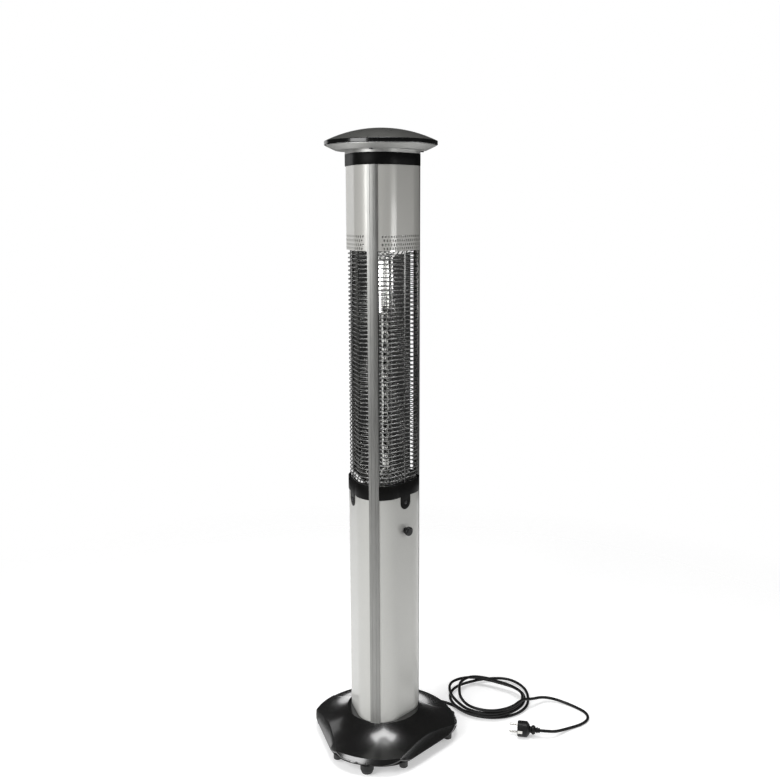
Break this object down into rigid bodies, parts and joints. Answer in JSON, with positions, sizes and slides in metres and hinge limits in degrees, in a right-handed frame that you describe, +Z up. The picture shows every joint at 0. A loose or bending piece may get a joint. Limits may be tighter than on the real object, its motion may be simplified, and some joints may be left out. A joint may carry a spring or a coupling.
{
  "type": "infrared patio heater tower",
  "caption": "Free-standing infrared heater tower: triangular column on a domed base with lamps behind wire grilles, a flat cap, a rotary knob, and a mains cord in a loose coil.",
  "frame": {"origin": "on the floor, on the column's vertical axis", "axes": "+Z up; the column face with the knob looks towards -Y; +X is to the right of a person who faces the knob"},
  "size_m": [0.5802, 0.5115, 1.3884],
  "materials": {
    "cover_gloss_black": "high gloss",
    "tray_black": "fine matt",
    "ballast_iron": "rough cast, black",
    "pad_rubber": "matt",
    "castor_steel": "polished",
    "screw_steel": "plated",
    "screw_dark": "blackened",
    "post_aluminium": "satin, drawn",
    "panel_paint": "light metallic grey",
    "shroud_paint": "light metallic grey, satin",
    "ring_black": "black, half gloss",
    "neck_silver": "bright satin",
    "cap_rim_black": "gloss",
    "cap_dome_paint": "dark metallic grey",
    "reflector_bright": "mirror polished sheet",
    "wire_steel": "bright plated wire",
    "quartz": "clear",
    "filament_carbon": "dark, matt",
    "lamp_ceramic": "unglazed",
    "inner_steel": "zinc plated sheet",
    "knob_black": "half gloss",
    "switch_grey": "matt",
    "terminal_white": "matt",
    "loom_sleeve": "woven heat sleeve",
    "cord_black": "soft sheen",
    "plug_metal": "nickel plated"
  },
  "bodies": {
    "tower": {"ballast_plate": "ballast_iron", "base_cover": "cover_gloss_black", "base_pads": "pad_rubber", "base_screws": "screw_steel", "base_tray": "tray_black", "cable_entry": "tray_black", "cap_dome": "cap_dome_paint", "cap_pan": "neck_silver", "cap_rim": "cap_rim_black", "cap_screws": "screw_dark", "cap_spacers": "neck_silver", "cap_stiffener": "inner_steel", "castor_housings": "tray_black", "column_socket": "inner_steel", "cord_coil": "cord_black", "cord_gland": "cord_black", "cord_lead": "cord_black", "cord_tail": "cord_black", "corner_post_left": "post_aluminium", "corner_post_rear": "post_aluminium", "corner_post_right": "post_aluminium", "lamp_filaments": "filament_carbon", "lamp_tubes": "quartz", "lower_deck": "inner_steel", "lower_end_plates": "reflector_bright", "lower_lamp_sockets": "lamp_ceramic", "lower_panel_knob_side": "panel_paint", "lower_panel_left_side": "panel_paint", "lower_panel_rear_side": "panel_paint", "mains_lead_inside": "cord_black", "neck": "neck_silver", "plug_body": "cord_black", "plug_earth_clips": "plug_metal", "plug_pins": "plug_metal", "rear_cover": "cover_gloss_black", "reflectors": "reflector_bright", "return_lead": "loom_sleeve", "ring_screws": "screw_dark", "ring_segments": "ring_black", "shroud_panel_knob_side": "shroud_paint", "shroud_panel_left_side": "shroud_paint", "shroud_panel_rear_side": "shroud_paint", "switch_body": "switch_grey", "terminal_block": "terminal_white", "thermal_cutout": "terminal_white", "tilt_switch": "switch_grey", "top_band": "ring_black", "top_plate": "inner_steel", "upper_deck": "inner_steel", "upper_end_plates": "reflector_bright", "upper_lamp_sockets": "lamp_ceramic", "wire_grille_knob_side": "wire_steel", "wire_grille_left_side": "wire_steel", "wire_grille_rear_side": "wire_steel", "wiring_loom": "loom_sleeve"},
    "knob": {"knob": "knob_black", "switch_shaft": "inner_steel"},
    "castor_ball_right": {"castor_ball_right": "castor_steel"},
    "castor_ball_rear": {"castor_ball_rear": "castor_steel"},
    "castor_ball_left": {"castor_ball_left": "castor_steel"}
  },
  "joints": [
    {"name": "knob_turn", "type": "hinge", "parent": "tower", "child": "knob", "pos_m": [0, -0.0685, 0.522], "axis": [0, 1, 0], "range_deg": [0, 270]},
    {"name": "castor_roll_right", "type": "hinge", "parent": "tower", "child": "castor_ball_right", "pos_m": [0.14203, -0.082, 0.0095], "axis": [0.5, 0.866, 0], "continuous": true},
    {"name": "castor_roll_rear", "type": "hinge", "parent": "tower", "child": "castor_ball_rear", "pos_m": [0, 0.164, 0.0095], "axis": [1, 0, 0], "continuous": true},
    {"name": "castor_roll_left", "type": "hinge", "parent": "tower", "child": "castor_ball_left", "pos_m": [-0.14203, -0.082, 0.0095], "axis": [0.5, -0.866, 0], "continuous": true}
  ]
}
